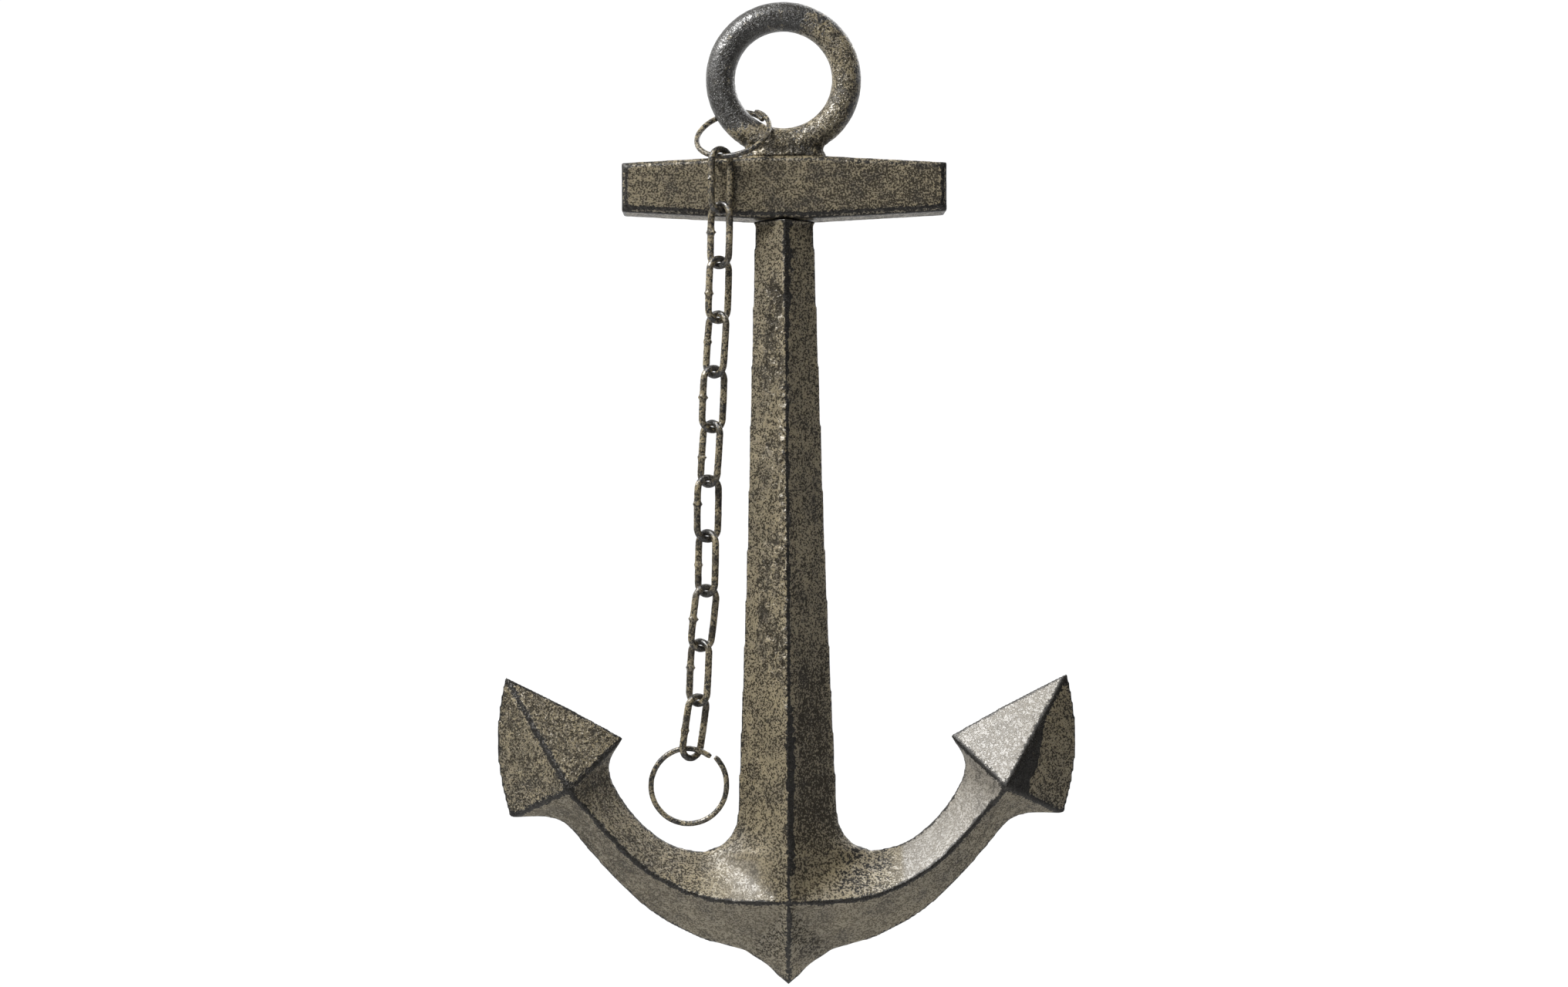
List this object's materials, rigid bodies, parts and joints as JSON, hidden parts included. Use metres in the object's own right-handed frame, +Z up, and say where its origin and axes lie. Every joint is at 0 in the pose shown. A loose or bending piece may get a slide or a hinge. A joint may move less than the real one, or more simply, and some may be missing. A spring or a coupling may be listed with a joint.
{
  "type": "stocked anchor with chain",
  "caption": "Cast anchor with a tapered diamond shank, two fluked arms, a bar stock, an eye ring on top and a short link chain with a ring at each end.",
  "frame": {"origin": "highest point of the inner side of the eye ring, where a hook or peg bears", "axes": "+Z up along the shank, +X across the arms to the right as seen from the front, front face towards -Y"},
  "size_m": [0.3534, 0.061, 0.6],
  "materials": {
    "painted_casting": "matte taupe paint, crackled over dark metal and rubbed dark on the edges",
    "painted_chain": "matte taupe paint, mottled dark and worn where the links touch"
  },
  "bodies": {
    "anchor": {"shank_and_arms": "painted_casting", "stock": "painted_casting", "eye_ring": "painted_casting"},
    "upper_ring": {"upper_ring": "painted_chain"},
    "link_01": {"link_01": "painted_chain"},
    "link_02": {"link_02": "painted_chain"},
    "link_03": {"link_03": "painted_chain"},
    "link_04": {"link_04": "painted_chain"},
    "link_05": {"link_05": "painted_chain"},
    "link_06": {"link_06": "painted_chain"},
    "link_07": {"link_07": "painted_chain"},
    "link_08": {"link_08": "painted_chain"},
    "link_09": {"link_09": "painted_chain"},
    "link_10": {"link_10": "painted_chain"},
    "link_11": {"link_11": "painted_chain"},
    "lower_ring": {"lower_ring": "painted_chain"}
  },
  "joints": [
    {"name": "upper_ring_swing", "type": "hinge", "parent": "anchor", "child": "upper_ring", "pos_m": [-0.0119, 0, -0.06612], "axis": [-0.9511, 0, 0.309], "range_deg": [0, 30]},
    {"name": "link_01_swing", "type": "hinge", "parent": "upper_ring", "child": "link_01", "pos_m": [-0.03823, -0.02015, -0.07918], "axis": [-0.9232, 0.3773, 0.0734], "range_deg": [0, 35]},
    {"name": "link_02_swing", "type": "hinge", "parent": "link_01", "child": "link_02", "pos_m": [-0.03869, -0.02015, -0.11238], "axis": [-0.8089, -0.5878, 0.0113], "range_deg": [0, 35]},
    {"name": "link_03_swing", "type": "hinge", "parent": "link_02", "child": "link_03", "pos_m": [-0.0395, -0.02015, -0.14527], "axis": [-0.8088, 0.5878, 0.0198], "range_deg": [-1, 35]},
    {"name": "link_04_swing", "type": "hinge", "parent": "link_03", "child": "link_04", "pos_m": [-0.04076, -0.02015, -0.17814], "axis": [-0.8284, -0.5592, 0.0318], "range_deg": [-3, 35]},
    {"name": "link_05_swing", "type": "hinge", "parent": "link_04", "child": "link_05", "pos_m": [-0.043, -0.02015, -0.21097], "axis": [-0.7643, 0.6428, 0.0521], "range_deg": [-3, 35]},
    {"name": "link_06_swing", "type": "hinge", "parent": "link_05", "child": "link_06", "pos_m": [-0.04461, -0.02015, -0.24383], "axis": [-0.8819, -0.4695, 0.0431], "range_deg": [-3, 35]},
    {"name": "link_07_swing", "type": "hinge", "parent": "link_06", "child": "link_07", "pos_m": [-0.0469, -0.02015, -0.27665], "axis": [-0.7296, 0.682, 0.051], "range_deg": [-3, 35]},
    {"name": "link_08_swing", "type": "hinge", "parent": "link_07", "child": "link_08", "pos_m": [-0.04765, -0.02015, -0.30954], "axis": [-0.8986, -0.4384, 0.0204], "range_deg": [-4, 35]},
    {"name": "link_09_swing", "type": "hinge", "parent": "link_08", "child": "link_09", "pos_m": [-0.04845, -0.02015, -0.34243], "axis": [-0.7429, 0.6691, 0.0182], "range_deg": [-5, 35]},
    {"name": "link_10_swing", "type": "hinge", "parent": "link_09", "child": "link_10", "pos_m": [-0.05223, -0.02015, -0.37511], "axis": [-0.8771, -0.4695, 0.1015], "range_deg": [-7, 35]},
    {"name": "link_11_swing", "type": "hinge", "parent": "link_10", "child": "link_11", "pos_m": [-0.05396, -0.02015, -0.40796], "axis": [-0.7869, 0.6157, 0.0412], "range_deg": [-10, 35]},
    {"name": "lower_ring_swing", "type": "hinge", "parent": "link_11", "child": "lower_ring", "pos_m": [-0.05839, -0.02015, -0.43453], "axis": [-0.9986, 0, 0.0523], "range_deg": [-10, 45]}
  ]
}
